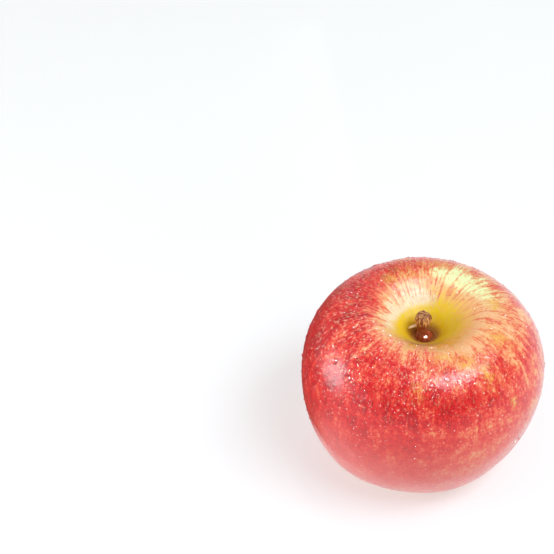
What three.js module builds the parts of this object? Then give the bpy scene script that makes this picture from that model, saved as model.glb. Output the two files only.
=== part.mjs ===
// A ripe dessert apple, as picked: the fruit, its short knobbed stem, and the dried flower at its base.
// Millimetres, +Z up. The table is z = 0, and the origin lies under the middle of the fruit.
import * as THREE from "three";

// ---- Driving dimensions, in millimetres ----

// The fruit, before its ribs, oval section and lean.
const fruitDiameter = 75;
const fruitHeight = 60.6; // table to the crest of the shoulder
const cheekHeight = 35; // where the fruit is widest
const footRadius = 12.6; // the ring that it stands on
const footFlat = 0.3; // how much of each foot the table presses flat
const crestRadius = 18.4; // the highest ring, round the stem cavity
const cavityDepth = 11;
const basinDepth = 8.4; // the hollow round the dried flower

// The stem.
const stemHeight = 10.1; // cavity floor to tip
const stemRootDepth = 3; // how far its root goes into the flesh
const stemFootRadius = 1.9;
const stemNeckRadius = 1.45;
const stemKnobRadius = 2.4;

// The bract: the dry stub of a small leaf on the side of the stem.
const bractLength = 3;
const bractRadius = 0.55;

// The dried flower.
const tubeRadius = 2.4; // the open tube under the sepals
const tubeDepth = 3.2;
const sepalCount = 5;
const sepalLength = 6.4;
const sepalWidth = 3.2;
const sepalThickness = 0.5;
const sepalInset = 0.8; // from the rim of the tube to the middle of a sepal's root
const sepalCup = 0.35; // how far its edges curl away from the tube
const stamensRadius = 1.5;
const stamensRise = 1.6; // how far the tuft of stamens stands out of its tube

// The gap between pieces that touch.
const clearance = 0.3;

// ---- How the fruit grew: no part of it is quite round or straight ----

const ribHeight = 0.015; // share of the radius, at the base
const ribAngle = THREE.MathUtils.degToRad(6);
const archHeight = 1.3; // how far the skin rises between two feet
const oval = 0.016; // share of the radius
const ovalAngle = THREE.MathUtils.degToRad(17);
const swellHeight = 0.5; // the three broad swellings of the shoulder
const swellAngle = THREE.MathUtils.degToRad(100);
const shoulderTilt = -0.055; // fall of the shoulder towards +X
const lean = 0.046; // sideways, per millimetre of height

// ---- Mesh fineness ----

const fruitSegments = 60;
const ringsPerBend = 9;
const stemSegments = 20;

/** 1 on the ring of this radius, 0 on the axis, and fading away outside the ring. */
function nearRing(radius, ringRadius) {
  const share = (radius / ringRadius) ** 2;
  return share * Math.exp(1 - share);
}

/** Moves a point of the straight, round apple to its place in the one that grew. */
function grow(point) {
  const angle = Math.atan2(point.y, point.x);
  const radius = Math.hypot(point.x, point.y);
  const rise = point.z / fruitHeight;
  const ribWave = Math.cos(sepalCount * (angle - ribAngle));
  const swellWave = Math.cos(3 * (angle - swellAngle));

  const spread = 1 + ribHeight * ribWave * (1 - rise) + oval * Math.cos(2 * (angle - ovalAngle));
  const arch = 0.5 * archHeight * (1 - ribWave) * nearRing(radius, footRadius) * (1 - rise) ** 4;
  const swell = swellHeight * swellWave * nearRing(radius, crestRadius) * Math.max(rise, 0) ** 4;
  const tilt = shoulderTilt * point.x * rise;

  point.x = point.x * spread + lean * point.z;
  point.y *= spread;
  point.z += arch + swell + tilt;
}

/** Moves every vertex of a geometry, in place. */
function shape(geometry, move) {
  const position = geometry.attributes.position;
  const point = new THREE.Vector3();
  for (let i = 0; i < position.count; i++) {
    point.fromBufferAttribute(position, i);
    move(point);
    position.setXYZ(i, point.x, point.y, point.z);
  }
  geometry.computeVertexNormals();
  return geometry;
}

/** A solid turned about the Z axis. Its profile is (radius, height) points, from its foot to its top. */
function turned(profile, segments) {
  return new THREE.LatheGeometry(profile, segments).rotateX(Math.PI / 2);
}

/**
 * The points of a rounded bend of a profile, without its first.
 * `leaving` and `arriving` are (across, rise) shares of the whole step. They set how far the bend
 * runs straight at each end. So (0.5, 0) leaves level, and (0, 0.5) leaves upright.
 */
function bend(from, leaving, to, arriving, steps, ease = (share) => share) {
  const step = to.clone().sub(from);
  const curve = new THREE.CubicBezierCurve(
    from,
    new THREE.Vector2(...leaving).multiply(step).add(from),
    to.clone().sub(new THREE.Vector2(...arriving).multiply(step)),
    to,
  );
  return Array.from({ length: steps }, (_, i) => curve.getPoint(ease((i + 1) / steps)));
}

// ---- The fruit ----

const cavityFloor = fruitHeight - cavityDepth;
const tubeFloor = basinDepth + tubeDepth;

function fruitProfile() {
  const socketRadius = stemFootRadius + clearance;
  const socketFloor = cavityFloor - stemRootDepth - clearance;
  const tubeMouth = new THREE.Vector2(tubeRadius, basinDepth);
  const foot = new THREE.Vector2(footRadius, -footFlat);
  const cheek = new THREE.Vector2(fruitDiameter / 2, cheekHeight);
  const crest = new THREE.Vector2(crestRadius, fruitHeight);
  const socketMouth = new THREE.Vector2(socketRadius, cavityFloor);
  const closeAtFirst = (share) => share ** 1.7; // small steps beside the feet

  return [
    new THREE.Vector2(0, tubeFloor),
    new THREE.Vector2(tubeRadius, tubeFloor),
    tubeMouth,
    ...bend(tubeMouth, [0.55, 0], foot, [0.42, 0], ringsPerBend),
    ...bend(foot, [0.51, 0], cheek, [0, 0.55], ringsPerBend + 2, closeAtFirst),
    ...bend(cheek, [0, 0.53], crest, [0.61, 0], ringsPerBend + 1),
    ...bend(crest, [0.28, 0], socketMouth, [0.12, 0], ringsPerBend),
    new THREE.Vector2(socketRadius, socketFloor),
    new THREE.Vector2(0, socketFloor),
  ];
}

function fruitGeometry() {
  return shape(turned(fruitProfile(), fruitSegments), (point) => {
    grow(point);
    point.z = Math.max(point.z, 0);
  });
}

// ---- The stem: a round root, a thin neck, and the knob where it came off its spur ----

const neckHeight = cavityFloor + 0.45 * stemHeight;

function stemProfile() {
  const root = new THREE.Vector2(stemFootRadius, cavityFloor - stemRootDepth);
  const collar = new THREE.Vector2(stemFootRadius, cavityFloor);
  const neck = new THREE.Vector2(stemNeckRadius, neckHeight);
  const knob = new THREE.Vector2(stemKnobRadius, cavityFloor + stemHeight - stemKnobRadius);
  const tip = new THREE.Vector2(0, cavityFloor + stemHeight);

  return [
    new THREE.Vector2(0, root.y),
    root,
    collar,
    ...bend(collar, [0, 0.4], neck, [0, 0.4], 4),
    ...bend(neck, [0, 0.35], knob, [0, 0.4], 5),
    ...bend(knob, [0, 0.75], tip, [0.55, 0], 5),
  ];
}

function stemGeometry() {
  return shape(turned(stemProfile(), stemSegments), grow);
}

/** A blunt rod beside the neck of the stem, on its -X side. It points outwards and a little down. */
function bractGeometry() {
  const straight = bractLength - 2 * bractRadius;
  const rod = new THREE.CapsuleGeometry(bractRadius, straight, 4, 10);
  rod.translate(0, straight / 2, 0); // its inner end is now at the origin
  rod.rotateZ(THREE.MathUtils.degToRad(115));
  rod.translate(-(stemNeckRadius + clearance + bractRadius), 0, 0);
  rod.rotateX(Math.PI / 2);
  rod.translate(0, 0, neckHeight);
  return shape(rod, grow);
}

// ---- The dried flower: five sepals round an open tube with a tuft of stamens ----

/** One sepal: a thin box bent along its midrib, down from the basin's floor and then curling out. */
function sepalGeometry(turn) {
  const rootHeight = basinDepth - clearance - 0.4 * sepalThickness;
  const root = new THREE.Vector2(tubeRadius + sepalInset, rootHeight);
  const midrib = new THREE.QuadraticBezierCurve(
    root,
    new THREE.Vector2(root.x - 0.14 * sepalLength, root.y - 0.5 * sepalLength),
    new THREE.Vector2(root.x + 0.42 * sepalLength, root.y - 0.62 * sepalLength),
  );
  const sepal = new THREE.BoxGeometry(1, 1, sepalThickness, 9, 4, 1);
  shape(sepal, (point) => {
    const share = point.x + 0.5; // 0 at the root, 1 at the tip
    const side = 2 * point.y; // -1 and 1 at the edges
    const place = midrib.getPoint(share);
    const slope = midrib.getTangent(share);
    const out = point.z + sepalCup * side ** 2 * share;
    const halfWidth = 0.5 * sepalWidth * (1.1 - share ** 1.6);
    point.set(place.x - slope.y * out, side * halfWidth, place.y + slope.x * out);
  });
  return shape(sepal.rotateZ(turn), grow);
}

function stamensGeometry() {
  const root = tubeFloor - clearance;
  const top = basinDepth - stamensRise;
  const profile = [
    new THREE.Vector2(0, top),
    new THREE.Vector2(0.7 * stamensRadius, top),
    new THREE.Vector2(stamensRadius, top + 0.6 * stamensRise),
    new THREE.Vector2(0.8 * stamensRadius, root),
    new THREE.Vector2(0, root),
  ];
  return shape(turned(profile, stemSegments), grow);
}

// ---- Putting it together ----

function finish(color, roughness) {
  return new THREE.MeshStandardMaterial({ color, roughness, metalness: 0 });
}

function piece(name, geometry, material) {
  const mesh = new THREE.Mesh(geometry, material);
  mesh.name = name;
  return mesh;
}

const skin = finish(0xd93a35, 0.3);
const bark = finish(0x8a5a34, 0.75);
const dryBract = finish(0xc79a6a, 0.85);
const drySepal = finish(0x7a6a48, 0.9);
const dryStamen = finish(0x5c4630, 0.95);

const apple = new THREE.Group();
apple.add(piece("fruit", fruitGeometry(), skin));
apple.add(piece("stem", stemGeometry(), bark));
apple.add(piece("bract", bractGeometry(), dryBract));
for (let i = 0; i < sepalCount; i++) {
  const turn = ribAngle + (2 * Math.PI * i) / sepalCount;
  apple.add(piece(`sepal_${i + 1}`, sepalGeometry(turn), drySepal));
}
apple.add(piece("stamens", stamensGeometry(), dryStamen));

// The origin goes under the middle of the fruit.
const middle = new THREE.Box3().setFromObject(apple).getCenter(new THREE.Vector3());
apple.position.set(-middle.x, -middle.y, 0);

export default apple;
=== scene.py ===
# %% [markdown]
# # A ripe apple, fresh from rinsing
#
# This lesson dresses the plain solids of an apple: a fruit, its short stem with a bract, and the
# dried flower in its base. The solids stay in the scene as the frame. Each one that gets a finer
# surface is hidden behind it, so the finer surface has to follow the same growth formula.

# %% Load the solids
import math

import bpy
import numpy as np
import numpy as np
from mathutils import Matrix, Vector


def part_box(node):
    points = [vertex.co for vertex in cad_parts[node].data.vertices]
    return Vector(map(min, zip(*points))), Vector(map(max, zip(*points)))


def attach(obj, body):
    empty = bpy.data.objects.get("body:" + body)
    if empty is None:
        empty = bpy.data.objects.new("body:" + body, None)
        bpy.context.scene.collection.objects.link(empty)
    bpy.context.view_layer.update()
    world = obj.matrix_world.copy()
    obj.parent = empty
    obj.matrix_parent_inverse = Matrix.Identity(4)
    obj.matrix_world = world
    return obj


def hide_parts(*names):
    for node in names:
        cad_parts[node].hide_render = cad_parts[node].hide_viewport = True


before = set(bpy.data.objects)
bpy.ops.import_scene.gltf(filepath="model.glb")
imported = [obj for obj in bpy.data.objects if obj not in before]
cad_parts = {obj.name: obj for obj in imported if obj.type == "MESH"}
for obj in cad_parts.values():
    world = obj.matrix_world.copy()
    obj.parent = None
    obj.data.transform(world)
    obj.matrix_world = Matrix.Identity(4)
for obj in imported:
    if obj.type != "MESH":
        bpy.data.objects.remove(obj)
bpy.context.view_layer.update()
mm = 0.001
print("solids:", sorted(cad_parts))

# %% [markdown]
# ## The camera
#
# A long lens from half a metre away keeps the apple's proportions. The camera looks down on it at
# 45.5 degrees. It doesn't aim at the apple, which sits low and right in the view. So the camera
# first faces the apple, and is then turned in its own axes until the apple lies in the wanted
# direction. Sliding the lens instead would upset the views from other sides.

# %% Place the camera
scene = bpy.context.scene
lens = bpy.data.cameras.new("lens")
lens.lens = 120
lens.sensor_width = 36
camera = bpy.data.objects.new("camera", lens)
scene.collection.objects.link(camera)
scene.camera = camera

tilt_down = math.radians(45.5)
distance = 586.27 * mm
aim_height = 30 * mm
to_the_right, below = 0.078791, 0.055977  # where the apple lies, as shares of the distance
towards_camera = Vector((0, -math.cos(tilt_down), math.sin(tilt_down)))
facing = towards_camera.to_track_quat("Z", "Y")
aside = Vector((to_the_right, -below, -1)).rotation_difference(Vector((0, 0, -1)))
camera.rotation_mode = "QUATERNION"
camera.rotation_quaternion = facing @ aside
camera.location = Vector((0, 0, aim_height)) + distance * towards_camera
print("camera at", [round(v, 3) for v in camera.location])

# %% [markdown]
# ## How an apple grows
#
# Cut a real apple through its stem and the outline is a few rounded bends: basin, foot, cheek,
# shoulder, cavity. Each is one cubic curve here. Turned about the axis they make a perfect apple,
# and a real one is never perfect. Five weak ribs run up from its base, because an apple has five
# seed cells. Its section is slightly oval, and its shoulder tilts and swells. One function,
# `grown`, holds all of that, so the stem and the dried flower lean along with the fruit.

# %% The fruit's sizes, in millimetres
fruit_diameter = 75
fruit_height = 60.6
cheek_height = 35
foot_radius = 12.6
foot_flat = 0.3
crest_radius = 18.4
cavity_depth = 11
cavity_floor = fruit_height - cavity_depth
basin_depth = 8.4
tube_radius = 2.4
tube_depth = 3.2
socket_radius = 2.2
socket_depth = 3.3

# %% How it grew
seed_cells = 5
rib_height = 0.015  # share of the radius, at the base
rib_angle = math.radians(6)
arch_height = 1.3  # how far the skin rises between two feet
oval = 0.016  # share of the radius
oval_angle = math.radians(17)
swellings = 3
swell_height = 0.5
swell_angle = math.radians(100)
shoulder_tilt = -0.055  # fall of the shoulder towards +X
lean = 0.046  # sideways, per millimetre of height


# %% The growth formula
def near_ring(radius, ring):
    """1 on the ring, 0 on the axis, fading outside: share times e to the (1 - share)."""
    share = (radius / ring) ** 2
    return share * np.exp(1 - share)


def grown(points):
    """Moves points of the straight, round apple (mm) to their places in the one that grew.

    Radius times (1 + rib cosine that fades upwards + oval cosine), then a lean along X. Height
    plus arches between the feet, swellings of the shoulder and the shoulder's tilt.
    """
    x, y, z = points[..., 0], points[..., 1], points[..., 2]
    angle = np.arctan2(y, x)
    radius = np.hypot(x, y)
    rise = z / fruit_height
    rib = np.cos(seed_cells * (angle - rib_angle))
    swelling = np.cos(swellings * (angle - swell_angle))
    spread = 1 + rib_height * rib * (1 - rise) + oval * np.cos(2 * (angle - oval_angle))
    arch = 0.5 * arch_height * (1 - rib) * near_ring(radius, foot_radius) * (1 - rise) ** 4
    swell = swell_height * swelling * near_ring(radius, crest_radius) * np.maximum(rise, 0) ** 4
    return np.stack(
        [x * spread + lean * z, y * spread, z + arch + swell + shoulder_tilt * x * rise], axis=-1
    )


def bend(start, leaving, end, arriving, steps=60):
    """A cubic curve between two profile points.

    The pairs say what share of the whole step, across and up, it runs straight at each end.
    """
    start, end = np.array(start, float), np.array(end, float)
    step = end - start
    first, second = start + np.array(leaving) * step, end - np.array(arriving) * step
    t = np.linspace(0, 1, steps)[:, None]
    return (
        (1 - t) ** 3 * start + 3 * (1 - t) ** 2 * t * first
        + 3 * (1 - t) * t**2 * second + t**3 * end
    )


def evenly(path, count):
    """The same path with its points a constant distance apart."""
    steps = np.linalg.norm(np.diff(path, axis=0), axis=1)
    run = np.concatenate([[0], np.cumsum(steps)])
    even = np.linspace(0, run[-1], count)
    return np.stack([np.interp(even, run, column) for column in path.T], axis=1)


# %% The fruit's profile, from the middle of the flower tube to the middle of the stem socket
mouth = (tube_radius, basin_depth)
foot = (foot_radius, -foot_flat)
cheek = (fruit_diameter / 2, cheek_height)
crest = (crest_radius, fruit_height)
socket = (socket_radius, cavity_floor)
skin_profile = np.vstack([
    [(0, basin_depth + tube_depth), (tube_radius, basin_depth + tube_depth)],
    bend(mouth, (0.55, 0), foot, (0.42, 0)),
    bend(foot, (0.51, 0), cheek, (0, 0.55))[1:],
    bend(cheek, (0, 0.53), crest, (0.61, 0))[1:],
    bend(crest, (0.28, 0), socket, (0.12, 0))[1:],
    [(socket_radius, cavity_floor - socket_depth), (0, cavity_floor - socket_depth)],
])
profile_rows = 290
skin_profile = evenly(skin_profile, profile_rows)
skin_length = np.linalg.norm(np.diff(skin_profile, axis=0), axis=1).sum()
print("skin runs", round(float(skin_length), 1), "mm")

# %% [markdown]
# ## Surfaces on a grid
#
# Every new piece is a grid of points: rows along its length and columns around it. A tube closes
# around, and its two ends close with one point each. The first helpers turn such a grid into a
# mesh object in metres, with smooth faces that point outwards. The last one, `keep`, stores
# numbers with the points, so that a material can read what the grid knew.

# %% Faces of a grid that closes around
def band_quads(rows, columns):
    """Four-sided faces between rows, as point numbers: a point, the next, and the two above."""
    row, column = np.meshgrid(np.arange(rows - 1), np.arange(columns), indexing="ij")
    after = (column + 1) % columns
    return np.stack([
        row * columns + column, row * columns + after,
        (row + 1) * columns + after, (row + 1) * columns + column,
    ], axis=-1).reshape(-1, 4)


def end_fans(rows, columns):
    """Triangles from each end row to one extra point, numbered after the grid's own points."""
    around = np.arange(columns)
    onward = (around + 1) % columns
    last_row = (rows - 1) * columns
    low, high = rows * columns, rows * columns + 1
    return np.vstack([
        np.stack([onward, around, np.full(columns, low)], axis=1),
        np.stack([last_row + around, last_row + onward, np.full(columns, high)], axis=1),
    ])


# %% A closed tube of points becomes a mesh
def mesh_object(name, points, faces, material=None):
    """A smooth mesh object at the origin, from points in metres and faces of point numbers."""
    mesh = bpy.data.meshes.new(name)
    mesh.from_pydata(points, [], faces)
    mesh.shade_smooth()
    mesh.update()
    piece = bpy.data.objects.new(name, mesh)
    scene.collection.objects.link(piece)
    if material:
        mesh.materials.append(material)
    return piece


def closed_tube(name, grid, material=None):
    """Rows x columns x 3 points in mm, closed around and capped by the middle of each end row."""
    rows, columns = grid.shape[:2]
    points = np.vstack([grid.reshape(-1, 3), grid[0].mean(0), grid[-1].mean(0)]) * mm
    faces = band_quads(rows, columns).tolist() + end_fans(rows, columns).tolist()
    return mesh_object(name, points, faces, material)


def keep(piece, name, values):
    """Stores one number or one vector for each point of a piece, for its material to read."""
    values = np.asarray(values, np.float32)
    kind = "FLOAT_VECTOR" if values.ndim == 2 else "FLOAT"
    field = "vector" if values.ndim == 2 else "value"
    store = piece.data.attributes.new(name, kind, "POINT")
    store.data.foreach_set(field, values.ravel())


# %% [markdown]
# ## The skin
#
# The skin is the whole look of an apple. Its surface is `grown` from the profile on a fine grid.
# Low, slow waves are added all over, a tenth of a millimetre high. They can't be seen as shape,
# but they break the edges of reflections as real skin does. A bump in the material could do that
# too, but then the outline would stay too perfect. The table presses the feet flat.

# %% The straight apple on a grid, and the waves
columns = 336
angle = np.arange(columns) / columns * 2 * math.pi
radius, height = skin_profile[:, :1], skin_profile[:, 1:]
straight = np.stack(
    [radius * np.cos(angle), radius * np.sin(angle), height + 0 * angle], axis=-1
)
wave_lengths = (19, 15, 12, 10, 8.5, 7.3)
wave_height = 0.028
calm_radius, calm_height = 8, 6  # the waves fade out towards the axis and the table, in mm


def unevenness(points):
    """Sum of sines along fixed tilted directions, 7 to 19 mm long, about 0.1 mm high."""
    waves = 0
    random = np.random.default_rng(4)
    for length in wave_lengths:
        for _ in range(3):
            direction = random.normal(size=3)
            direction *= 2 * math.pi / length / np.linalg.norm(direction)
            phase = random.uniform(0, 6.3)
            waves = waves + length / wave_lengths[0] * np.sin(points @ direction + phase)
    return wave_height * waves


# %% Grow the skin, and move it over the solid fruit
skin_grid = grown(straight)
solid_low, solid_high = (np.array(corner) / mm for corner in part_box("fruit"))
flat_centre = (skin_grid.reshape(-1, 3).min(0) + skin_grid.reshape(-1, 3).max(0)) / 2
to_origin = np.array([*((solid_low + solid_high) / 2 - flat_centre)[:2], 0])
outwards = np.stack([np.cos(angle), np.sin(angle), 0 * angle], axis=-1)
fade = np.clip(radius / calm_radius, 0, 1) * np.clip(height / calm_height, 0, 1)
waves = unevenness(straight)[..., None] * outwards * fade[..., None]
skin_grid = skin_grid + to_origin + waves
skin_grid[..., 2] = np.maximum(skin_grid[..., 2], 0)
skin = closed_tube("apple_skin", skin_grid)
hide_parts("fruit")
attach(skin, "root")
print("skin:", len(skin.data.polygons), "faces, shifted", to_origin.round(2).tolist(), "mm")

# %% [markdown]
# ## A map of the skin
#
# A pattern on an apple follows its growth: streaks run from stem to base and meet at both ends.
# Object coordinates don't know about that, so each point stores its own address. `flow` holds a
# place on a 30 mm wide cylinder and the distance from the stem. Noise read there, squeezed along
# the last axis, gives rays at the stem and streaks down the cheek.

# %% The address of every point
flow_radius = 30
run_from_stem = np.linalg.norm(np.diff(skin_profile, axis=0), axis=1)
run_from_stem = np.concatenate([[0], np.cumsum(run_from_stem)])
run_from_stem = run_from_stem[-1] - run_from_stem - socket_depth - socket_radius
run_grid = run_from_stem[:, None] + 0 * angle
turn_grid = 0 * radius + np.degrees((angle + math.pi / 2 + math.pi) % (2 * math.pi) - math.pi)
girth = np.maximum(radius, 4)
flow = np.stack([
    flow_radius * np.cos(angle) + 0 * radius, flow_radius * np.sin(angle) + 0 * radius, run_grid
], axis=-1)
flow = np.vstack([flow.reshape(-1, 3), (0, 0, run_grid[0, 0]), (0, 0, run_grid[-1, 0])])
keep(skin, "flow", flow)
print("cavity to basin:", round(float(run_from_stem.max()), 1), "mm")


# %% Soft fields on the skin
def per_point(values):
    """A grid of numbers as the tube's list: all of the grid, then the mean of each end row."""
    return np.concatenate([values.ravel(), [values[0].mean(), values[-1].mean()]])


def step(low, high, value):
    """0 below `low`, 1 above `high`, and an S-shaped rise between them."""
    share = np.clip((value - low) / (high - low), 0, 1)
    return share * share * (3 - 2 * share)


def patch(turn, run, half_width, half_height):
    """A soft oval on the skin: e to the minus squared distance in half sizes (mm)."""
    across = ((turn_grid - turn + 180) % 360 - 180) * math.pi / 180 * girth
    along = run_grid - run
    return np.exp(-((across / half_width) ** 2) - (along / half_height) ** 2)


def patches(places):
    """The sum of soft ovals. A place is (strength, turn, run, half width, half height)."""
    return sum(strength * patch(*place) for strength, *place in places)


# %% [markdown]
# `blush` says how much sun each place had. An apple reddens where light reached it, and stays
# yellow in the cavity and where a leaf lay on it. It is a smooth field that rises a little way
# out from the stem, to a plateau that is highest on the left. A few soft patches correct it. Each
# is placed by its turn from the side that faces the camera, in degrees, and by its distance from
# the stem, in mm. Painting the field by hand would work too, but numbers are easier to change.

# %% Blush: how red each place is
front = 0.5 + 0.5 * np.cos(np.radians(turn_grid))
left = 0.5 - 0.5 * np.sin(np.radians(turn_grid))
right, back = 1 - left, 1 - front
plateau = 0.35 + 0.38 * left + 0.13 * front * right
start = 8 + 3 * front - 0.5 * right
width = 12 + 3 * front + 6 * right
sunny = [
    (0.14, -4, 40, 22, 8), (0.08, 32, 41, 14, 8), (0.08, -100, 40, 26, 26),
    (0.12, -165, 22, 14, 8),
]
shaded = [
    (0.37, 150, 21, 12, 5), (0.1, -150, 18, 12, 5), (0.06, 75, 22, 14, 8),
    (0.05, -38, 28, 20, 8),
]
blush = plateau * step(start, start + width, run_grid)
blush += 0.2 * step(28, 42, run_grid) * back - 0.08 * step(46, 74, run_grid)
blush += patches(sunny) - patches(shaded)
keep(skin, "blush", per_point(blush))
print("blush from", round(float(blush.min()), 2), "to", round(float(blush.max()), 2))

# %% [markdown]
# The ground under the red isn't one yellow either. It is greenish where the shoulder had least
# sun, golden on the lip of the cavity, and cream where its rays are palest. The cream field also
# holds a painted highlight on the far wall of the cavity, where the wet skin shines. And where a
# leaf touched the cheek, small yellow marks break through the red. Four more fields hold these.

# %% Four tints of the ground
tints = {
    "green": [(1, 150, 21, 12, 5), (0.5, 122, 24, 10, 5)],
    "gold": [(1.2, 5, 15, 15, 6)],
    # The cream at turn -145 is a painted highlight: the wet gloss on the far wall of the cavity.
    "cream_and_highlight": [(1.2, -145, 11.5, 8, 3.5), (0.9, -92, 12.5, 9, 4), (0.4, 170, 11, 6, 3)],
    "yellow": [
        (0.7, 15, 22, 3.2, 2.6), (0.8, 30, 26, 2.6, 2.8), (1, 40, 32, 1.8, 3.6),
        (0.8, 50, 44, 1.2, 2.6), (0.6, -4, 32, 1.6, 3.6), (0.6, -150, 18, 7, 4),
        (0.5, 172, 24, 6, 3), (0.4, -168, 27, 5, 3), (0.8, 100, 22, 4, 3), (0.8, 64, 26, 3, 4),
    ],
}
for name, places in tints.items():
    keep(skin, name, per_point(np.clip(patches(places), 0, 1)))
print("tints:", ", ".join(tints))

# %% [markdown]
# ## Small tools for materials
#
# A material is a graph of nodes. A few helpers keep the cells short: `node` makes any node and
# links or sets its inputs, `calc` does one sum, `level` is a soft step, `ramp` maps a number to
# colours, and `blend` lays one colour over another. Each returns the socket to read from.

# %% Node helpers
def linear(r, g, b):
    """A colour as a screen shows it, 0 to 255, as the linear light that nodes use."""
    share = np.array([r, g, b]) / 255
    light = np.where(share <= 0.04045, share / 12.92, ((share + 0.055) / 1.055) ** 2.4)
    return (*light.tolist(), 1)


def node(tree, kind, inputs=None, **settings):
    """A new node. An input that is a socket is linked, and one that is a value is set."""
    made = tree.nodes.new(kind)
    for name, value in settings.items():
        setattr(made, name, value)
    for name, value in (inputs or {}).items():
        if isinstance(value, bpy.types.NodeSocket):
            tree.links.new(value, made.inputs[name])
        else:
            made.inputs[name].default_value = value
    return made


def calc(tree, operation, *values, clamp=False):
    """One sum of two numbers, each a socket or a value."""
    made = node(tree, "ShaderNodeMath", dict(enumerate(values)), operation=operation)
    made.use_clamp = clamp
    return made.outputs[0]


def ramp(tree, share, stops):
    """Colours at places between 0 and 1, blended straight between them."""
    made = node(tree, "ShaderNodeValToRGB", {"Fac": share})
    elements = made.color_ramp.elements
    while len(elements) < len(stops):
        elements.new(0.5)
    for element, (place, colour) in zip(elements, stops):
        element.position = place
        element.color = colour
    return made.outputs["Color"]


def level(tree, value, low, high, bottom=0.0, top=1.0):
    """Maps a number from one range to another with an S-shaped rise."""
    return node(
        tree, "ShaderNodeMapRange",
        {"Value": value, "From Min": low, "From Max": high, "To Min": bottom, "To Max": top},
        interpolation_type="SMOOTHSTEP",
    ).outputs["Result"]


# %% Helpers for colours, noises and materials
def blend(tree, share, under, over):
    """`over` laid on `under` by a share."""
    made = node(tree, "ShaderNodeMix", data_type="RGBA", blend_type="MIX")
    for socket, value in ((made.inputs[0], share), (made.inputs[6], under), (made.inputs[7], over)):
        if isinstance(value, bpy.types.NodeSocket):
            tree.links.new(value, socket)
        else:
            socket.default_value = value
    return made.outputs[2]


def stretch(tree, vector, scale):
    """A place multiplied axis by axis. A small scale makes a pattern long on that axis."""
    return node(tree, "ShaderNodeVectorMath", {0: vector, 1: scale}, operation="MULTIPLY").outputs[0]


def noise(tree, vector, scale, detail=2.0, roughness=0.5):
    """Soft random numbers around a half."""
    return node(
        tree, "ShaderNodeTexNoise",
        {"Vector": vector, "Scale": scale, "Detail": detail, "Roughness": roughness},
    ).outputs["Fac"]


def attribute(tree, name):
    """What `keep` stored under this name."""
    return node(tree, "ShaderNodeAttribute", attribute_name=name)


def new_material(name, **sockets):
    """A material with these values on its shader's own sockets, its nodes, and the shader."""
    material = bpy.data.materials.new(name)
    material.use_nodes = True
    shader = material.node_tree.nodes["Principled BSDF"]
    for socket, value in sockets.items():
        shader.inputs[socket.replace("_", " ")].default_value = value
    return material, material.node_tree, shader


# %% [markdown]
# ## The finish of the skin
#
# Real apple colour is red pigment in streaks over a yellow ground. So the material doesn't mix
# paints. It adds noises of several widths to the blush and reads one ramp from yellow through
# orange and coral to crimson. Where the sum is low the ground shows, and where it is high the red
# closes up.
#
# On top comes a clear coat with a small roughness: the wax. The skin's own shine under it is very
# low, because two shines would veil the red. A little subsurface light softens the red, as wet
# flesh under a thin skin does.

# %% The skin's material, and what it reads
skin_finish, tree, shader = new_material(
    "apple_skin", Subsurface_Weight=0.12, Subsurface_Scale=0.004, Coat_Weight=1.0,
    Coat_Roughness=0.18, Coat_IOR=1.5, IOR=1.4, Specular_IOR_Level=0.05,
)
shader.inputs["Subsurface Radius"].default_value = (1.0, 0.35, 0.2)
place = attribute(tree, "flow").outputs["Vector"]
spot = node(tree, "ShaderNodeTexCoord").outputs["Object"]
blush_here, green_here, gold_here, cream_and_highlight_here, yellow_here = (
    attribute(tree, name).outputs["Fac"] for name in ("blush", "green", "gold", "cream_and_highlight", "yellow")
)
run_here = node(tree, "ShaderNodeSeparateXYZ", {0: place}).outputs["Z"]


# %% Noises from broad streaks to crumbs
def streak(lengthwise, scale, detail=2):
    """Noise in the flow of growth. A smaller `lengthwise` makes longer streaks."""
    return noise(tree, stretch(tree, place, (1, 1, lengthwise)), scale, detail, 0.6)


wide = streak(0.16, 0.3, 3)
narrow = streak(0.2, 1.0, 3)
strokes = streak(0.32, 2.3)
fine = streak(0.4, 4.2)
rays = streak(0.05, 0.7, 3)
mottle = noise(tree, spot, 170, 4, 0.65)
crumbs = noise(tree, spot, 900, 2, 0.6)
fleck = noise(tree, spot, 480, 2, 0.5)


# %% Sums of many numbers
def swing(value, amount):
    """A noise moved from around a half to around zero, times an amount."""
    return calc(tree, "MULTIPLY", calc(tree, "SUBTRACT", value, 0.5), amount)


def total(*values):
    """All of the values added up, in the material that is being made."""
    result = values[0]
    for value in values[1:]:
        result = calc(tree, "ADD", result, value)
    return result


def product(*values):
    """All of the values multiplied, in the material that is being made."""
    result = values[0]
    for value in values[1:]:
        result = calc(tree, "MULTIPLY", result, value)
    return result


# %% [markdown]
# The streaks are strongest on the shoulder and calmer low on the cheek. Close to the stem, long
# thin rays take over. Inside the cavity almost nothing is left of them, and the green patch stays
# more even than the rest.

# %% Streaks make the blush uneven
by_stem = level(tree, run_here, 30, 14)
calm = level(tree, run_here, 28, 54, 1, 0.42)
streaks = total(swing(wide, 0.8), swing(narrow, 0.8), swing(strokes, 0.8), swing(fine, 0.7))
streaks = total(product(streaks, calm), product(by_stem, swing(rays, 1.2)))
grain = total(swing(mottle, 1.2), swing(crumbs, 0.6))
outside_cavity = level(tree, run_here, 5, 13, 0.1, 1)
off_green = level(tree, green_here, 0.2, 0.9, 1, 0.75)
ripeness = calc(
    tree, "ADD", blush_here, product(total(streaks, grain), outside_cavity, off_green), clamp=True
)
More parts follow.
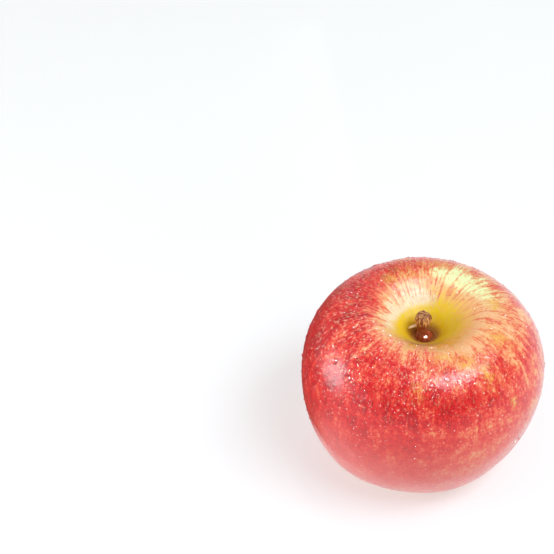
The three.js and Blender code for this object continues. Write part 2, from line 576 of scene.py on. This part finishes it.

# %% [markdown]
# The ground is brown where water stands round the stem, ochre and clear yellow up the wall of the
# cavity, and peach outside it. Gold, cream and green are laid over by their fields, and on the far
# wall of the cavity the cream is a painted highlight. The cream is broken into rays by the same
# noise that makes the rays, and thin orange rays go over all of it.

# %% The ground under the red
near_stem = ramp(tree, calc(tree, "DIVIDE", run_here, 20), [
    (0.0, linear(112, 50, 8)), (0.09, linear(150, 88, 4)), (0.2, linear(224, 176, 0)),
    (0.34, linear(242, 202, 0)), (0.5, linear(248, 206, 24)), (0.66, linear(254, 200, 104)),
    (0.9, linear(250, 186, 140)),
])
# Cream is pale ground, and on the far wall of the cavity a painted highlight.
cream_and_highlight_rays = level(tree, total(rays, swing(narrow, 0.5)), 0.3, 0.55, 0.55, 1)
cream_and_highlight_share = level(tree, product(cream_and_highlight_here, cream_and_highlight_rays), 0.25, 0.85)
ground = blend(tree, gold_here, near_stem, linear(210, 136, 0))
ground = blend(tree, cream_and_highlight_share, ground, linear(248, 228, 190))
ground = blend(tree, level(tree, green_here, 0.15, 0.75), ground, linear(244, 252, 186))
ray = level(tree, total(rays, swing(narrow, 0.6), swing(fine, 0.3)), 0.48, 0.64)
ray = product(ray, level(tree, run_here, 6, 15, 0, 0.65), level(tree, green_here, 0.2, 0.8, 1, 0.4))
ground = blend(tree, ray, ground, linear(240, 146, 100))

# %% [markdown]
# The red goes over the ground by ripeness. Low on the cheek all colours draw together into one
# dull rose: partly a duller red, because that part hung in the shade as it grew, and partly a
# painted sheen for the pale reflection of the white floor there. Round the dried flower the skin
# is yellowish.
# The leaf marks come last, broken into specks.

# %% Red, rose, basin and leaf marks
colours = ramp(tree, ripeness, [
    (0.18, linear(242, 182, 112)), (0.34, linear(238, 138, 88)), (0.48, linear(234, 90, 64)),
    (0.62, linear(226, 42, 34)), (0.78, linear(210, 18, 24)), (1.0, linear(174, 8, 18)),
])
base = blend(tree, level(tree, ripeness, 0.02, 0.34), ground, colours)
# Painted sheen: the pale rose low on the cheek also stands for the white floor's reflection.
low_cheek_rose_and_sheen = product(level(tree, run_here, 40, 72), 0.8)
base = blend(tree, low_cheek_rose_and_sheen, base, linear(221, 90, 82))
in_basin = product(level(tree, total(run_here, swing(wide, 16)), 84, 104), 0.7)
base = blend(tree, in_basin, base, linear(216, 184, 96))
speckle = total(swing(strokes, 1.6), swing(mottle, 2.0), swing(fleck, 1.0))
leaf_mark = product(yellow_here, level(tree, speckle, -0.1, 0.2), 0.9)
base = blend(tree, leaf_mark, base, linear(244, 198, 84))

# %% [markdown]
# An apple breathes through pale pores, the lenticels. They are dots of a cell pattern read in the
# flow, in two sizes. Near the stem the same skin grew longer, so there they are dashes. A third,
# weaker mark is a pale scratch where a stroke of the streak noise is strongest. All of them fade
# low on the cheek. They could be modelled as small bumps, but real ones are too flat to be felt.


# %% Pores, dashes and scratches
def dots(scale, lengthwise, outer, inner):
    """A soft dot in the middle of each cell of a random cell pattern."""
    cells = node(
        tree, "ShaderNodeTexVoronoi",
        {"Vector": stretch(tree, place, (1, 1, lengthwise)), "Scale": scale},
    )
    return level(tree, cells.outputs["Distance"], outer, inner)


uneven = noise(tree, spot, 60, 2, 0.5)
pore = calc(tree, "MAXIMUM", dots(0.46, 1, 0.16, 0.07), product(dots(0.83, 1, 0.2, 0.1), 0.7))
pore = product(
    pore, level(tree, uneven, 0.36, 0.56, 0.25, 0.85), level(tree, run_here, 60, 38, 0.3, 1)
)
dash = product(
    dots(1.05, 0.5, 0.3, 0.1), level(tree, uneven, 0.38, 0.6, 0.1, 0.65),
    level(tree, run_here, 50, 26, 0.05, 1),
)
scratch = product(level(tree, strokes, 0.56, 0.7), level(tree, run_here, 50, 20, 0.05, 0.6))
base = blend(tree, scratch, base, linear(246, 176, 118))
base = blend(tree, dash, base, linear(252, 200, 166))
base = blend(tree, pore, base, linear(252, 216, 184))
tree.links.new(base, shader.inputs["Base Color"])

# %% [markdown]
# Wax lies thickest on the cheek. Inside the cavity the skin is dry and dull, so the coat thins
# out there and the roughness rises. A fine bump breaks the reflections: crumbs, a peel like an
# orange's but much lower, and pores that stand up a little.

# %% Wax and relief
dry = level(tree, run_here, 9, 2)
dullness = total(swing(crumbs, 0.5), product(dry, 0.25), 0.36)
tree.links.new(dullness, shader.inputs["Roughness"])
tree.links.new(level(tree, run_here, 2, 9, 0.15, 1.0), shader.inputs["Coat Weight"])
peel = noise(tree, spot, 420, 3, 0.6)
relief = total(swing(crumbs, 0.5), swing(peel, 1.2), swing(strokes, 0.6), product(pore, 0.4))
bump = node(tree, "ShaderNodeBump", {"Height": relief, "Distance": 0.12 * mm, "Strength": 1.0})
tree.links.new(bump.outputs["Normal"], shader.inputs["Normal"])
tree.links.new(bump.outputs["Normal"], shader.inputs["Coat Normal"])
skin.data.materials.append(skin_finish)
print("skin finish:", len(tree.nodes), "nodes")

# %% [markdown]
# ## Dry plant fibre
#
# The stem, the bract and the dried flower are all dead, dry tissue: streaky along their length,
# dark in the creases. They share one node group with named inputs, so each material sets its own
# colours. It reads the address that each piece stores: `fibre` holds turn, length and depth.
# %% The fibre group
def fibre_group():
    """A group: Light, Dark and Scale in, and the streaky colour and its height out."""
    tree = bpy.data.node_groups.new("dry_fibre", "ShaderNodeTree")
    for name, in_out, kind in (
        ("Light", "INPUT", "NodeSocketColor"), ("Dark", "INPUT", "NodeSocketColor"),
        ("Scale", "INPUT", "NodeSocketFloat"), ("Color", "OUTPUT", "NodeSocketColor"),
        ("Height", "OUTPUT", "NodeSocketFloat"),
    ):
        tree.interface.new_socket(name, in_out=in_out, socket_type=kind)
    given = node(tree, "NodeGroupInput")
    result = node(tree, "NodeGroupOutput")
    fibre = attribute(tree, "fibre").outputs["Vector"]
    lines = noise(tree, stretch(tree, fibre, (1, 1, 0.22)), given.outputs["Scale"], 4, 0.65)
    lumps = noise(tree, fibre, 0.9, 3, 0.6)
    share = calc(tree, "ADD", calc(tree, "MULTIPLY", lines, 0.6), calc(tree, "MULTIPLY", lumps, 0.4))
    light_share = level(tree, share, 0.4, 0.62)
    colour = blend(tree, light_share, given.outputs["Dark"], given.outputs["Light"])
    tree.links.new(colour, result.inputs["Color"])
    tree.links.new(share, result.inputs["Height"])
    return tree


dry_fibre = fibre_group()


# %% A material of dry fibre
def fibre_material(name, light, dark, scale, relief, **sockets):
    """A material with the fibre group in it, bumped by `relief` mm, and the group's colour."""
    material, tree, shader = new_material(name, **sockets)
    fibre = node(tree, "ShaderNodeGroup", node_tree=dry_fibre)
    fibre.inputs["Light"].default_value = linear(*light)
    fibre.inputs["Dark"].default_value = linear(*dark)
    fibre.inputs["Scale"].default_value = scale
    height = fibre.outputs["Height"]
    bump = node(tree, "ShaderNodeBump", {"Height": height, "Distance": relief * mm})
    tree.links.new(bump.outputs["Normal"], shader.inputs["Normal"])
    return material, tree, shader, fibre.outputs["Color"]


# %% [markdown]
# ## The stem
#
# The stem is a thin neck of bark between a foot that grows out of the cavity and a thick knob,
# torn where the apple was picked. A profile through a few radii, carried up the axis, gives it.
# Ridges wind slightly round it, and the knob is lumpy, with a shallow dent at its torn end.

# %% A smooth curve through a few points
def through(points, count):
    """A smooth curve through points, by the Catmull-Rom formula, evenly in parameter."""
    points = np.array(points, float)
    ends = np.vstack([2 * points[0] - points[1], points, 2 * points[-1] - points[-2]])
    share = np.linspace(0, len(points) - 1 - 1e-9, count)
    k = share.astype(int)
    t = (share - k)[:, None]
    a, b, c, d = ends[k], ends[k + 1], ends[k + 2], ends[k + 3]
    return 0.5 * (
        2 * b + (c - a) * t + (2 * a - 5 * b + 4 * c - d) * t**2
        + (3 * b - a - 3 * c + d) * t**3
    )


# %% Build the stem
stem_line = through([
    (1.7, -2.6), (1.9, -1.0), (2.2, -0.2), (2.0, 0.8), (1.66, 2.2), (1.5, 3.6), (1.6, 4.6),
    (2.0, 5.6), (2.34, 6.6), (2.4, 7.7), (2.1, 8.7), (1.5, 9.3), (0.9, 9.3), (0.25, 8.9),
], 96)
stem_turn = np.arange(72) / 72 * 2 * math.pi
stem_radius, stem_height = stem_line[:, :1], stem_line[:, 1:]
knob = step(4.6, 7, stem_height)
ridges = 0.04 * np.sin(7 * stem_turn + 0.35 * stem_height)
ridges = ridges + 0.03 * np.sin(11 * stem_turn - 0.5 * stem_height + 1)
lumps = 0.06 * np.sin(3 * stem_turn + 0.9 * stem_height)
lumps = lumps + 0.045 * np.sin(5 * stem_turn - 1.3 * stem_height + 2)
lumpy_radius = stem_radius * (1 + ridges * (0.5 + 0.8 * knob) + lumps * knob)
foot_bow = 0.75  # the neck stands this much to the left of the foot, in mm
bow = -foot_bow * step(0, 4, stem_height) + 0.25 * step(4.5, 8, stem_height)
stem_grid = np.stack([
    bow + lumpy_radius * np.cos(stem_turn), lumpy_radius * np.sin(stem_turn),
    cavity_floor + stem_height + 0.14 * knob * np.sin(4 * stem_turn + 1)
], axis=-1)
stem = closed_tube("stem_detail", grown(stem_grid) + to_origin)

# %% The stem's own address, and its place in the frame
fibre_radius = np.minimum(stem_radius, 2.2)
fibre_address = np.stack([
    fibre_radius * np.cos(stem_turn), fibre_radius * np.sin(stem_turn), stem_height + 0 * stem_turn
], axis=-1)
stem_ends = [(0, 0, height) for height in (stem_line[0, 1], stem_line[-1, 1])]
keep(stem, "fibre", np.vstack([fibre_address.reshape(-1, 3), *stem_ends]))
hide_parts("stem")
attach(stem, "root")
print("stem:", len(stem.data.polygons), "faces")

# %% [markdown]
# Dry bark is light brown with dark cracks along it. The cracks are the borders of a cell pattern
# that is stretched lengthwise. The lower half of the stem is wet, and wet bark is a deep red
# brown, so that colour comes in from the neck down.

# %% Stem material
stem_finish, tree, shader, fibre_colour = fibre_material(
    "stem_bark", light=(248, 186, 120), dark=(130, 46, 14), scale=2.4, relief=0.35, Roughness=0.5,
    Coat_Weight=0.1, Coat_Roughness=0.2, Specular_IOR_Level=0.2,
)
fibre_here = attribute(tree, "fibre").outputs["Vector"]
height_here = node(tree, "ShaderNodeSeparateXYZ", {0: fibre_here}).outputs["Z"]
crack_cells = node(
    tree, "ShaderNodeTexVoronoi",
    {"Vector": stretch(tree, fibre_here, (1, 1, 0.22)), "Scale": 0.8},
    feature="DISTANCE_TO_EDGE",
)
crack = product(level(tree, crack_cells.outputs["Distance"], 0.08, 0.01), 0.75)
bark = blend(tree, crack, fibre_colour, linear(64, 22, 8))
wet_share = product(level(tree, height_here, 6.4, 3.6), 0.8)
tree.links.new(blend(tree, wet_share, bark, linear(140, 50, 22)), shader.inputs["Base Color"])
stem.data.materials.append(stem_finish)

# %% [markdown]
# ## The bract
#
# A small leaf once grew on the stem, and its dry stub is left. It is a short, flattened rod that
# points out and down: an oval section carried along a slightly drooping line. The line is laid
# between two corners of the solid bract's box, and its inner end goes into the stem.

# %% The bract's line and thickness
bract_low, bract_high = (np.array(corner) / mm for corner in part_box("bract"))
bract_middle = (bract_low + bract_high) / 2
inner = np.array([bract_high[0] + 0.5, bract_middle[1], bract_high[2] - 0.35])
outer = np.array([bract_low[0] - 0.3, bract_middle[1] - 0.35, bract_low[2] + 0.45])
share = np.linspace(0, 1, 26)[:, None]
line = inner + (outer - inner) * share
line[:, 2:] += 0.25 * np.sin(math.pi * share)
bract_turn = np.arange(28) / 28 * 2 * math.pi
round_ends = np.sqrt(np.clip(1 - (2 * share - 1) ** 6, 0.02, 1))
thickness = 0.42 * round_ends * (1.12 - 0.25 * share)
thickness = thickness * (1 + 0.07 * np.sin(5 * bract_turn + 9 * share))

# %% Build the bract
bract_grid = line[:, None, :] + np.stack([
    0.25 * thickness * np.sin(bract_turn), 1.25 * thickness * np.cos(bract_turn),
    thickness * np.sin(bract_turn)
], axis=-1)
bract = closed_tube("bract_detail", bract_grid[:, ::-1])
address = np.stack([
    0.6 * np.cos(bract_turn) + 0 * share, 0.6 * np.sin(bract_turn) + 0 * share,
    3 * share + 0 * bract_turn
], axis=-1)
keep(bract, "fibre", np.vstack([address[:, ::-1].reshape(-1, 3), (0, 0, 0), (0, 0, 3)]))
bract_finish, tree, shader, fibre_colour = fibre_material(
    "dry_bract", light=(255, 232, 194), dark=(232, 180, 130), scale=2.5, relief=0.1, Roughness=0.5,
)
tree.links.new(fibre_colour, shader.inputs["Base Color"])
bract.data.materials.append(bract_finish)
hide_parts("bract")
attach(bract, "root")
print("bract:", len(bract.data.polygons), "faces")

# %% [markdown]
# ## The dried flower
#
# Turn an apple over and its flower is still there. Five pointed sepals stand round an open tube,
# dry and downy, their tips curled back. Inside is a tuft of dead stamens. Each sepal is a thin
# leaf on a grid: a midrib curve, a width that tapers to a point, and edges that curl away. It is
# closed by carrying an oval section, very flat, along the midrib.

# %% The shape of a sepal
def leaf(turn, seed):
    """A flat oval section along a midrib that goes down, then out, with a crumpled edge."""
    random = np.random.default_rng(seed)
    tip = (tube_radius + 2.5 + random.uniform(-0.5, 0.3), 3.9 + random.uniform(-0.3, 0.5))
    midrib = through([
        (tube_radius + 0.9, 7.9), (tube_radius + 0.3, 6.4), (tube_radius + 0.2, 5.1),
        (tube_radius + 1.0, 4.2), tip,
    ], 34)
    slope = np.gradient(midrib, axis=0)
    slope /= np.linalg.norm(slope, axis=1, keepdims=True)
    share = np.linspace(0, 1, 34)[:, None]
    around = np.arange(28) / 28 * 2 * math.pi
    half_width = 1.6 * (1.02 - share**1.7) * (1 + 0.12 * np.sin(9 * share + seed))
    side = half_width * np.cos(around)
    crumple = 0.13 * np.sin(7 * share + 2 * np.cos(around) + seed) * share
    curl = 0.4 * np.cos(around) ** 2 * share
    out = 0.16 * np.sin(around) * (1.1 - share) + curl + crumple
    x = midrib[:, :1] - slope[:, 1:] * out
    z = midrib[:, 1:] + slope[:, :1] * out
    y = side + 0.2 * share * math.sin(seed)
    grid = np.stack([
        x * math.cos(turn) - y * math.sin(turn), x * math.sin(turn) + y * math.cos(turn), z
    ], axis=-1)
    address = np.stack([side, out, 6 * share + 0 * side], axis=-1)
    return grid, address


# %% Build the five sepals
sepal_finish, tree, shader, fibre_colour = fibre_material(
    "dry_sepal", light=(150, 130, 92), dark=(70, 56, 36), scale=2.2, relief=0.15, Roughness=0.85,
    Sheen_Weight=0.4,
)
tree.links.new(fibre_colour, shader.inputs["Base Color"])
for i in range(5):
    grid, address = leaf(math.radians(6 + 72 * i), i + 1)
    sepal = closed_tube(f"sepal_detail_{i + 1}", grown(grid) + to_origin, sepal_finish)
    address_ends = [address[0].mean(0), address[-1].mean(0)]
    keep(sepal, "fibre", np.vstack([address.reshape(-1, 3), *address_ends]))
    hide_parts(f"sepal_{i + 1}")
    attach(sepal, "root")
print("sepals: 5 of", len(sepal.data.polygons), "faces")

# %% [markdown]
# The stamens are threads of one shape, each from the tube's floor to just under the sepals, with
# its own lean. All of them go into one mesh, because they are one dry tuft. Hair would be the
# other way to make them, but a thread that is a thin closed tube can be kept as a solid.

# %% Where the threads run
def many_tubes(paths, thickness, sides=6):
    """Round tubes along paths that run mostly down: rings of `sides` points in the XY plane."""
    around = np.arange(sides) / sides * 2 * math.pi
    ring = np.stack([np.cos(around), np.sin(around), 0 * around], axis=-1)
    return paths[:, :, None, :] + thickness[:, :, None, None] * ring


random = np.random.default_rng(11)
threads = 22
share = np.linspace(0, 1, 9)
turn = random.uniform(0, 2 * math.pi, threads)[:, None]
spread = random.uniform(0.2, 1.0, threads)[:, None]
top = 5.6 + random.uniform(-0.7, 0.9, threads)[:, None]
reach = 0.25 + spread * (0.9 + 0.7 * share**2)
floor_height = basin_depth + tube_depth - 0.3
paths = np.stack([
    reach * np.cos(turn + 0.6 * share), reach * np.sin(turn + 0.6 * share),
    floor_height + (top - floor_height) * share
], axis=-1)
thickness = np.where(share > 0.85, 0.2, 0.1) + 0 * turn
tubes = many_tubes(paths, thickness)[:, :, ::-1]

# %% Build the tuft
tuft_faces = []
count, rows, sides = tubes.shape[:3]
around = np.arange(sides)
for first_point in range(0, count * rows * sides, rows * sides):
    last_ring = first_point + (rows - 1) * sides
    tuft_faces += (band_quads(rows, sides) + first_point).tolist()
    tuft_faces += [(around[::-1] + first_point).tolist(), (around + last_ring).tolist()]
tuft = grown(tubes.reshape(-1, 3)) + to_origin
stamen_finish, tree, shader, fibre_colour = fibre_material(
    "dry_stamen", light=(112, 84, 52), dark=(46, 30, 18), scale=2.0, relief=0.1, Roughness=0.9,
)
tree.links.new(fibre_colour, shader.inputs["Base Color"])
stamens = mesh_object("stamen_tuft", tuft * mm, tuft_faces, stamen_finish)
keep(stamens, "fibre", tubes.reshape(-1, 3))
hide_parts("stamens")
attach(stamens, "root")
print("stamens:", threads, "threads,", len(tuft_faces), "faces")

# %% [markdown]
# ## Water drops
#
# The apple has just been rinsed, and wax makes water stand up in beads. A bead is a cap of a
# sphere, slightly flattened, with its rim under the skin, so that light inside it reaches the
# skin as it does in a real drop. All beads have the shape of one low dome, and the finer they are,
# the fewer faces it gets. Each is scaled and turned to the skin's own direction by array
# arithmetic. The larger ones have set places, and the rest are scattered from a seed, with more of
# them on the shoulder than low on the cheek.

# %% Find the skin at any turn and distance from the stem
skin_rows = np.argsort(run_from_stem)
sideways = np.roll(skin_grid, -1, 1) - np.roll(skin_grid, 1, 1)
normals = np.cross(sideways, np.gradient(skin_grid, axis=0))
normals /= np.maximum(np.linalg.norm(normals, axis=-1, keepdims=True), 1e-9)


def on_skin(turn, run):
    """A grid point and its outward direction, for a turn (degrees) and a run from the stem (mm)."""
    next_row = np.searchsorted(run_from_stem[skin_rows], run)
    row = skin_rows[np.clip(next_row, 0, len(skin_rows) - 1)]
    column = np.round((np.asarray(turn) - 90) % 360 / 360 * columns).astype(int) % columns
    return skin_grid[row, column], normals[row, column]


def dome(rings, sides):
    """A unit bead: a cap 0.8 high on a rim of radius 1, and a short wall down under the skin."""
    cap_height, under = 0.8, -0.35
    lift = np.linspace(0, math.pi / 2, rings)[:-1]
    around = np.arange(sides) / sides * 2 * math.pi
    radius = np.concatenate([[0.9], np.cos(lift)])[:, None]
    height = np.concatenate([[under], cap_height * np.sin(lift)])[:, None]
    grid = np.stack([
        radius * np.cos(around), radius * np.sin(around), height + 0 * around
    ], axis=-1)
    points = np.vstack([grid.reshape(-1, 3), (0, 0, under), (0, 0, cap_height)])
    return points, band_quads(len(radius), sides), end_fans(len(radius), sides)


# %% Many beads in one mesh
drops = []


def beads(name, turn, run, size, rings, sides, material, painted_outline):
    """One mesh of many beads: unit dome times size, in the skin's own axes at each place."""
    points, quads, triangles = dome(rings, sides)
    centre, normal = on_skin(turn, run)
    helper = np.where(np.abs(normal[:, 2:]) < 0.9, (0, 0, 1), (1, 0, 0))
    first = np.cross(helper, normal)
    first /= np.linalg.norm(first, axis=1, keepdims=True)
    second = np.cross(normal, first)
    axes = np.stack([first, second, normal], axis=1)
    placed = centre[:, None] + size[:, None, None] * (points @ axes)
    offset = (np.arange(len(size)) * len(points))[:, None, None]
    faces = (quads + offset).reshape(-1, 4).tolist()
    faces += (triangles + offset).reshape(-1, 3).tolist()
    piece = mesh_object(name, placed.reshape(-1, 3) * mm, faces, material)
    # Painted shade for the rim: the distance from the middle, times the strength of the outline.
    keep(piece, "edge", np.tile(painted_outline * np.hypot(points[:, 0], points[:, 1]), len(size)))
    piece.visible_shadow = piece.visible_diffuse = False
    drops.append(piece)
    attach(piece, "root")
    print(name, len(size), "beads,", len(faces), "faces")
    return piece


# %% [markdown]
# Water is glass with a lower refraction, 1.33, and it needs no colour. But a real bead has a thin
# dark outline, where it bends the light of the room away. Beads of so few faces are too coarse to
# do that by themselves. So each point stores its distance from the bead's middle as `edge`, and a
# ramp tints the glass dark towards the rim: a painted shade for that outline. The finer the
# beads, the weaker their painted outline.
#
# The beads cast no shadow and send no light back to the skin: focused light under thousands of
# beads would only make noise.

# %% Water
water, tree, shader = new_material(
    "rinse_water", Roughness=0.03, IOR=1.33, Transmission_Weight=1.0,
)
# Painted shade: the glass darkens towards each bead's rim, for the dark outline of a real drop.
rim = ramp(tree, attribute(tree, "edge").outputs["Fac"], [
    (0.0, (1, 1, 1, 1)), (0.52, (1, 0.96, 0.95, 1)), (0.74, (0.5, 0.22, 0.2, 1)),
    (1.0, (0.2, 0.05, 0.05, 1)),
])
tree.links.new(rim, shader.inputs["Base Color"])

# %% Place the beads
large = np.array([  # turn in degrees, distance from the stem and radius in mm
    (-58, 34.5, 1.1), (-45, 35.6, 1.3), (-28, 39.1, 0.9), (4, 30.3, 0.85), (14, 29.0, 0.9),
    (21, 30.3, 0.9), (38, 39.4, 0.75),
])
random = np.random.default_rng(23)


def scatter(count, smallest, largest, wettest, spread):
    """Random places: more beads near one distance from the stem, and on the left."""
    turn = random.uniform(-180, 180, 3 * count)
    run = random.uniform(14, 66, 3 * count)
    on_left = 0.5 + 0.5 * np.cos(np.radians(turn + 75))
    wet = np.exp(-((run - wettest) / spread) ** 2) * on_left
    chosen = random.uniform(0, 1, 3 * count) < wet + 0.08
    size = smallest + (largest - smallest) * random.beta(1.3, 4, 3 * count)
    return turn[chosen][:count], run[chosen][:count], size[chosen][:count]


beads("large_drops", large[:, 0], large[:, 1], large[:, 2], 9, 24, water, 1)
beads("fine_drops", *scatter(700, 0.25, 0.6, 30, 16), 5, 10, water, 0.66)
beads("mist_drops", *scatter(5000, 0.13, 0.26, 32, 20), 3, 6, water, 0)

# %% [markdown]
# Rinsing water also runs down the stem and stays in the corner round its foot. That drop is a
# ring-shaped bead: a rounded profile round the bow of the stem, slightly tilted, as water hangs.
# Its glass is tinted brown, and paler in cloudy patches.

# %% The drop round the foot of the stem
bead_line = through([
    (1.2, -1.0), (2.3, -0.75), (2.75, -0.1), (2.84, 0.5), (2.68, 1.1), (2.3, 1.6), (1.8, 1.95),
    (1.3, 2.1),
], 40)
bead_turn = np.arange(64) / 64 * 2 * math.pi
bead_radius, bead_height = bead_line[:, :1], bead_line[:, 1:]
bead_grid = np.stack([
    -foot_bow * step(0, 4, bead_height) + bead_radius * np.cos(bead_turn),
    bead_radius * np.sin(bead_turn),
    cavity_floor + bead_height + 0.1 * bead_radius * np.sin(bead_turn - 0.6)
], axis=-1)
tinted_water, tree, shader = new_material(
    "brown_tinted_water", Roughness=0.03, IOR=1.33, Transmission_Weight=1.0,
)
cloud = noise(tree, node(tree, "ShaderNodeTexCoord").outputs["Object"], 500, 2, 0.5)
brown_tint = ramp(tree, cloud, [(0.35, (0.72, 0.4, 0.2, 1)), (0.65, (0.9, 0.62, 0.36, 1))])
tree.links.new(brown_tint, shader.inputs["Base Color"])
foot_drop = closed_tube("foot_drop", grown(bead_grid) + to_origin, tinted_water)
foot_drop.visible_shadow = foot_drop.visible_diffuse = False
drops.append(foot_drop)
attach(foot_drop, "root")
print("foot drop:", len(foot_drop.data.polygons), "faces")

# %% [markdown]
# ## The floor
#
# The apple stands on a light table: a white sheet that is lit from above and also glows a little
# by itself. A sheet that only reflects light would go grey and pink next to the apple, and a
# stronger lamp to whiten it would wash out the red. The sheet has a very faint cloud in it.

# %% Floor
floor_size = 3.0
corners = np.array([(-1, -1), (1, -1), (1, 1), (-1, 1)]) * floor_size
floor_points = np.column_stack([corners, np.zeros(4)])
floor_finish, tree, shader = new_material("pale_floor", Roughness=0.6, Emission_Strength=0.5)
shader.inputs["Emission Color"].default_value = (1, 1, 1, 1)
cloud = noise(tree, node(tree, "ShaderNodeTexCoord").outputs["Object"], 6)
paper = ramp(tree, cloud, [(0.3, linear(186, 185, 184)), (0.7, linear(190, 189, 188))])
tree.links.new(paper, shader.inputs["Base Color"])
floor = mesh_object("floor", floor_points, [(0, 1, 2, 3)], floor_finish)

# %% [markdown]
# ## The lamps
#
# Waxed skin shows each lamp as a soft patch, so the lamps are placed by the patches they make. A
# softbox low on the left gives the tall patch on the cheek, and a small strip beside it a fainter
# one. A bluish softbox high on the right gives the wide patch under the lip of the cavity. It is
# the strongest, and it lights most of the skin.


# %% Softboxes
def soft_light(name, azimuth, elevation, distance, width, height, power, color=(0.9, 0.96, 1)):
    """A rectangle at a direction in degrees (0 is +X, 90 is +Y), aimed at the apple."""
    light = bpy.data.lights.new(name, "AREA")
    light.shape = "RECTANGLE"
    light.size, light.size_y, light.energy = width, height, power
    light.color = color
    lamp = bpy.data.objects.new(name, light)
    a, e = math.radians(azimuth), math.radians(elevation)
    direction = Vector((math.cos(a) * math.cos(e), math.sin(a) * math.cos(e), math.sin(e)))
    lamp.rotation_euler = direction.to_track_quat("Z", "Y").to_euler()
    lamp.location = Vector((0, 0, cheek_height * mm)) + direction * distance
    scene.collection.objects.link(lamp)
    return lamp


soft_light("left_softbox", -175, 10, 0.7, 0.3, 0.34, 2.7)
soft_light("left_strip", -143, 11, 0.7, 0.08, 0.12, 0.2)
soft_light("high_softbox", -38, 57, 0.75, 0.46, 0.26, 4.3, (0.76, 0.91, 1))

# %% [markdown]
# Water drops show lamps as bright points. The softboxes are too large for that, and small strong
# lamps would put hard spots on the skin too. So two small lamps are linked to a collection that
# holds only the drops, and light nothing else.

# %% Sparkle on the drops
wet = bpy.data.collections.new("wet")
for piece in drops:
    wet.objects.link(piece)
for name, azimuth, elevation, size, power in (
    ("left_sparkle", -170, 46, 0.12, 100), ("right_sparkle", -35, 48, 0.2, 110)
):
    sparkle = soft_light(name, azimuth, elevation, 0.6, size, size, power)
    sparkle.light_linking.receiver_collection = wet

# %% [markdown]
# ## Dark and light around the apple
#
# A glossy thing shows what is around it. In an all-white room its edges go pale and it looks
# flat, so something dark lies on the left, as more fruit would. It is a collar of cloth: a strip
# that lies on the floor on the left and in front, and rises like a bowl's side behind the apple.
# It shows only in reflections. The camera doesn't see it, and it takes no light from the skin.

# %% A dark collar on the left
collar_columns, collar_rows = 40, 16
collar_turn = np.linspace(100, 262, collar_columns)[:, None]  # degrees, 0 is +X and 90 is +Y
collar_out = np.linspace(0, 1, collar_rows)
upright = step(102, 122, collar_turn) * (1 - step(138, 164, collar_turn))
reach = 44 + 206 * collar_out
collar_points = np.stack([
    reach * np.cos(np.radians(collar_turn)), reach * np.sin(np.radians(collar_turn)),
    0.3 + 150 * collar_out**2 * upright
], axis=-1)
dark = step(100, 120, collar_turn) * (1 - step(176, 212, collar_turn))
dark = np.maximum(dark * (1 - step(0.7, 1, collar_out)), upright * step(100, 118, collar_turn))
column, row = np.meshgrid(
    np.arange(collar_columns - 1), np.arange(collar_rows - 1), indexing="ij"
)
corner = column * collar_rows + row
collar_faces = np.stack([
    corner, corner + collar_rows, corner + collar_rows + 1, corner + 1
], axis=-1).reshape(-1, 4).tolist()

# %% The collar's cloth
collar_finish, tree, shader = new_material("collar_cloth", Roughness=0.9)
weave = noise(tree, node(tree, "ShaderNodeTexCoord").outputs["Object"], 300)
shade = total(attribute(tree, "dark").outputs["Fac"], swing(weave, 0.1))
cloth = ramp(tree, shade, [(0.05, linear(248, 246, 246)), (1.0, linear(120, 44, 34))])
tree.links.new(cloth, shader.inputs["Base Color"])
collar = mesh_object("collar", collar_points.reshape(-1, 3) * mm, collar_faces, collar_finish)
keep(collar, "dark", dark.ravel())
collar.visible_camera = collar.visible_diffuse = collar.visible_shadow = False
print("collar:", len(collar_faces), "faces")

# %% [markdown]
# The room itself is white and fairly bright behind the apple, and dimmer in front and behind on
# the left. A white sky with two soft steps does that. An even sky would fill every hollow.

# %% Surroundings
world = bpy.data.worlds.new("white_room")
world.use_nodes = True
sky = world.node_tree
background = sky.nodes["Background"]
background.inputs["Color"].default_value = (1, 1, 1, 1)
view = node(sky, "ShaderNodeTexCoord").outputs["Generated"]
split = node(sky, "ShaderNodeSeparateXYZ", {0: view})
away, across = split.outputs["Y"], split.outputs["X"]
behind_left = calc(sky, "SUBTRACT", away, across)
depth_step = level(sky, away, -0.9, 0.5, 0.36, 0.72)
corner_step = level(sky, behind_left, 0.2, 1.1, 1, 0.5)
sky.links.new(calc(sky, "MULTIPLY", depth_step, corner_step), background.inputs["Strength"])
scene.world = world
scene.view_settings.view_transform = "Standard"
